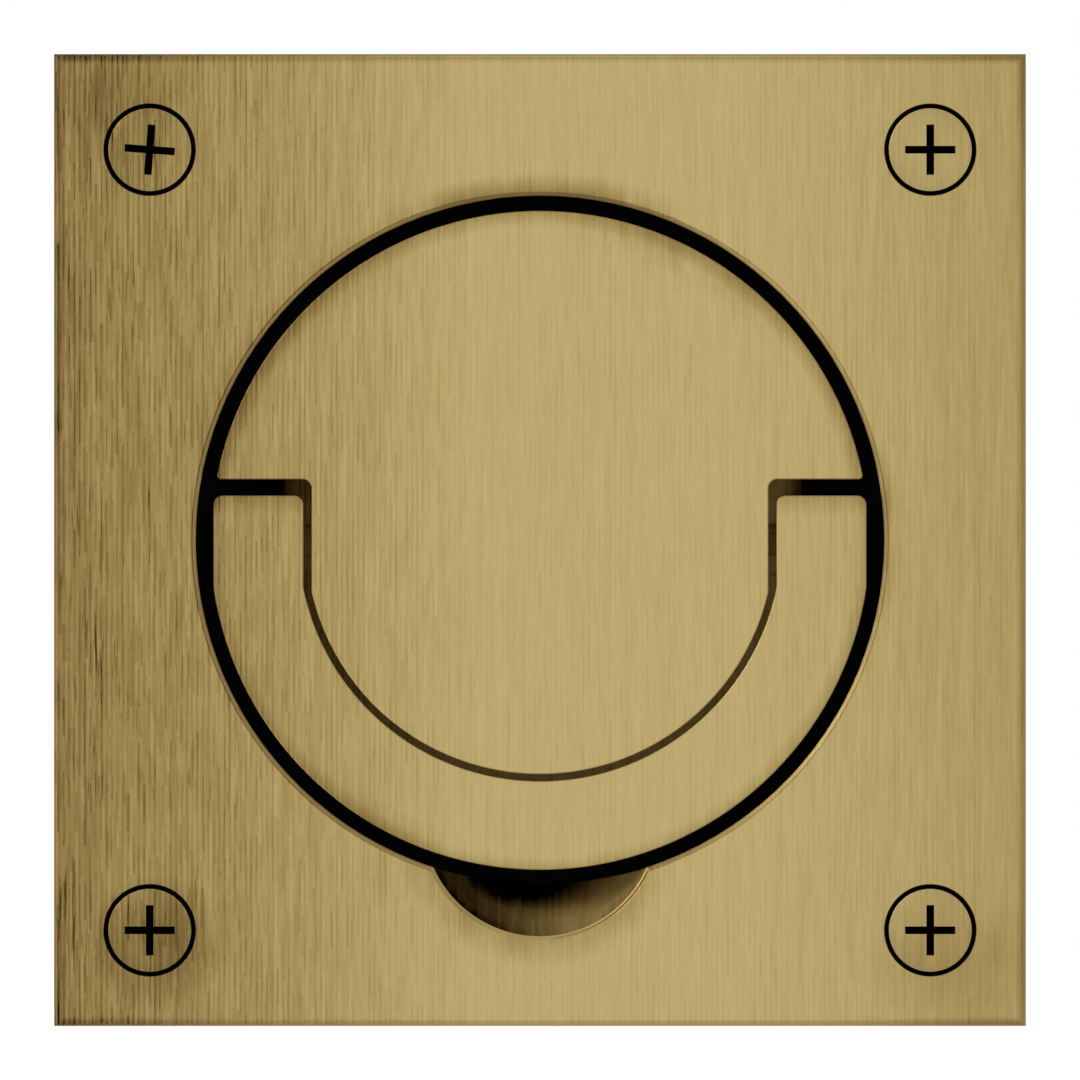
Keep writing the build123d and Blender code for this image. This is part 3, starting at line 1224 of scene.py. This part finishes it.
@dataclass(frozen=True)
class MilledParts:
    """The brass parts and the cover, whose CAD shapes are kept and dressed."""

    brass: BrushedBrass = BrushedBrass()
    cover: CoatedSteel = CoatedSteel()
    pins: DarkSteel = DarkSteel()

    def build(self) -> None:
        """Dress each CAD part."""
        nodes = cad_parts
        brass_parts = {"face_plate": Part.PLATE, "centre_block": Part.BLOCK, "pull_ring": Part.RING}
        for node, part in brass_parts.items():
            dress(nodes[node], self.brass.material(f"{node}_brass", part))
            LOG.info("%s dressed in brushed brass", node)
        dress(nodes["back_plate"], self.cover.material("black_coat"))
        LOG.info("back_plate dressed in black coat")
        pin_steel = self.pins.material("pin_black_oxide")
        for node in ("pivot_pin_left", "pivot_pin_right"):
            dress(nodes[node], pin_steel)
            LOG.info("%s dressed in black oxide", node)


@dataclass(frozen=True)
class Fasteners:
    """All the screws."""

    top_left_turn: float = 4.4
    brass: BrushedBrass = BrushedBrass()
    zinc: ZincPlate = ZincPlate()

    def build(self) -> None:
        """Make and dress each screw."""
        brass = self.brass.material("mounting_screw_brass", Part.SCREW)
        turns = {"top_left": self.top_left_turn, "top_right": 0.0, "bottom_left": 0.0, "bottom_right": 0.0}
        for corner, turn in turns.items():
            piece = MountingScrew(f"mounting_screw_{corner}", turn).build()
            dress(piece, brass)
            LOG.info("%s made", piece.name)
        zinc = self.zinc.material("zinc_plate")
        for number in (1, 2, 3):
            for screw in (
                BackScrew(f"block_screw_{number}", height=2.0 * MM, thread_r=1.5 * MM, pitch=0.5 * MM),
                BackScrew(f"cover_screw_{number}", height=1.4 * MM, thread_r=1.0 * MM, pitch=0.4 * MM),
            ):
                piece = screw.build()
                dress(piece, zinc)
                LOG.info("%s made", piece.name)


# ---- studio -----------------------------------------------------------------------------


@dataclass(frozen=True)
class SoftBox:
    """An area light that looks at the part."""

    name: str
    place: tuple[float, float, float]
    width: float
    height: float
    power: float

    def build(self) -> None:
        """Hang the light and aim it."""
        light = bpy.data.lights.new(self.name, "AREA")
        light.shape = "RECTANGLE"
        light.size, light.size_y = self.width, self.height
        light.energy = self.power
        lamp = bpy.data.objects.new(self.name, light)
        lamp.location = self.place
        lamp.rotation_euler = (-Vector(self.place)).to_track_quat("-Z", "Y").to_euler()
        lamp.visible_camera = False
        bpy.context.scene.collection.objects.link(lamp)


@dataclass(frozen=True)
class Studio:
    """Camera, lights, world and the pale floor."""

    lens: float = 1000.0
    sensor: float = 36.0
    view_width: float = 70.56 * MM
    world_level: float = 0.31
    fill_level: float = 0.53
    fill_below: float = 0.6
    clip: Span = (0.1, 20.0)
    floor_size: float = 3.0
    floor_gap: float = 0.05 * MM
    floor_grey: Colour = (0.6, 0.6, 0.6, 1.0)
    floor_glow: float = 0.75
    floor_fade: Span = (60.0, 400.0)
    boxes: tuple[SoftBox, ...] = (
        SoftBox("front_box", (0.1, -0.9, 0.0), 0.8, 0.8, 0.65),
        SoftBox("left_box", (-0.55, -0.4, 0.4), 0.35, 0.35, 2.2),
        SoftBox("side_box", (-0.85, -0.12, -0.1), 0.5, 1.6, 1.65),
        SoftBox("low_box", (-0.6, -0.13, -0.6), 0.4, 0.4, 0.45),
        SoftBox("top_box", (0.1, -0.15, 0.8), 0.5, 0.5, 0.36),
        SoftBox("rear_box", (0.4, 0.7, 0.5), 0.5, 0.5, 0.9),
    )

    def build(self) -> None:
        """Set up everything round the part."""
        bpy.context.scene.view_settings.view_transform = "Standard"
        self._camera()
        self._world()
        self._floor()
        for box in self.boxes:
            box.build()
        LOG.info("studio set up")

    def _camera(self) -> None:
        """Long lens, square on to the face."""
        lens = bpy.data.cameras.new("camera")
        lens.lens = self.lens
        lens.sensor_width = self.sensor
        lens.clip_start, lens.clip_end = self.clip
        camera = bpy.data.objects.new("camera", lens)
        distance = self.view_width * self.lens / self.sensor
        camera.location = (0.0, CAD_BOX[0][1] - distance, 0.0)
        camera.rotation_euler = (math.radians(90), 0.0, 0.0)
        bpy.context.scene.collection.objects.link(camera)
        bpy.context.scene.camera = camera

    def _world(self) -> None:
        """White behind everything, and for its light a soft grey, brighter on the right and below."""
        world = bpy.data.worlds.new("studio")
        tree = Tree(world)
        white = {"Color": (1.0, 1.0, 1.0, 1.0)}
        seen = tree.node("ShaderNodeLightPath", output="Is Camera Ray")
        x, _, z = tree.axes(tree.node("ShaderNodeTexCoord", output="Generated"))
        from_right_and_below = (x.ramp(0.0, 1.0) + z.ramp(0.0, -1.0) * self.fill_below).clamped()
        ambient = tree.node("ShaderNodeBackground", None, {**white, "Strength": self.world_level})
        fill = tree.node("ShaderNodeBackground", None, {**white, "Strength": self.fill_level})
        backdrop = tree.node("ShaderNodeBackground", None, white)
        around = tree.node("ShaderNodeMixShader", None, {0: from_right_and_below, 1: ambient, 2: fill})
        mixed = tree.node("ShaderNodeMixShader", None, {0: seen, 1: around, 2: backdrop})
        tree.node("ShaderNodeOutputWorld", None, {"Surface": mixed})
        bpy.context.scene.world = world

    def _floor(self) -> None:
        """Pale floor under the lower edge, which brightens to plain white further out."""
        half = self.floor_size / 2
        level = CAD_BOX[0][2] - self.floor_gap
        mesh = bmesh.new()
        corners = ((-half, -half), (half, -half), (half, half), (-half, half))
        mesh.faces.new([mesh.verts.new((x, y, level)) for x, y in corners])
        floor = new_piece("floor", mesh)
        floor.visible_glossy = False
        floor.visible_shadow = False
        tree = Tree.of_material("pale_floor")
        x, y, _ = tree.axes(tree.position())
        far = x.hypot(y).ramp(*self.floor_fade)
        paper = tree.node(
            "ShaderNodeBsdfPrincipled",
            None,
            {
                "Base Color": self.floor_grey,
                "Roughness": 0.9,
                "Specular IOR Level": 0.0,
                "Emission Color": (1.0, 1.0, 1.0, 1.0),
                "Emission Strength": self.floor_glow,
            },
        )
        white = tree.node("ShaderNodeEmission", None, {"Strength": 1.0})
        mixed = tree.node("ShaderNodeMixShader", None, {0: far, 1: paper, 2: white})
        tree.node("ShaderNodeOutputMaterial", None, {"Surface": mixed})
        dress(floor, tree.owner)


def main() -> None:
    """Build the scene in order."""
    logging.basicConfig(level=logging.INFO, format="%(name)s: %(message)s")
    Studio().build()
    MilledParts().build()
    Fasteners().build()


if __name__ == "__main__":
    main()
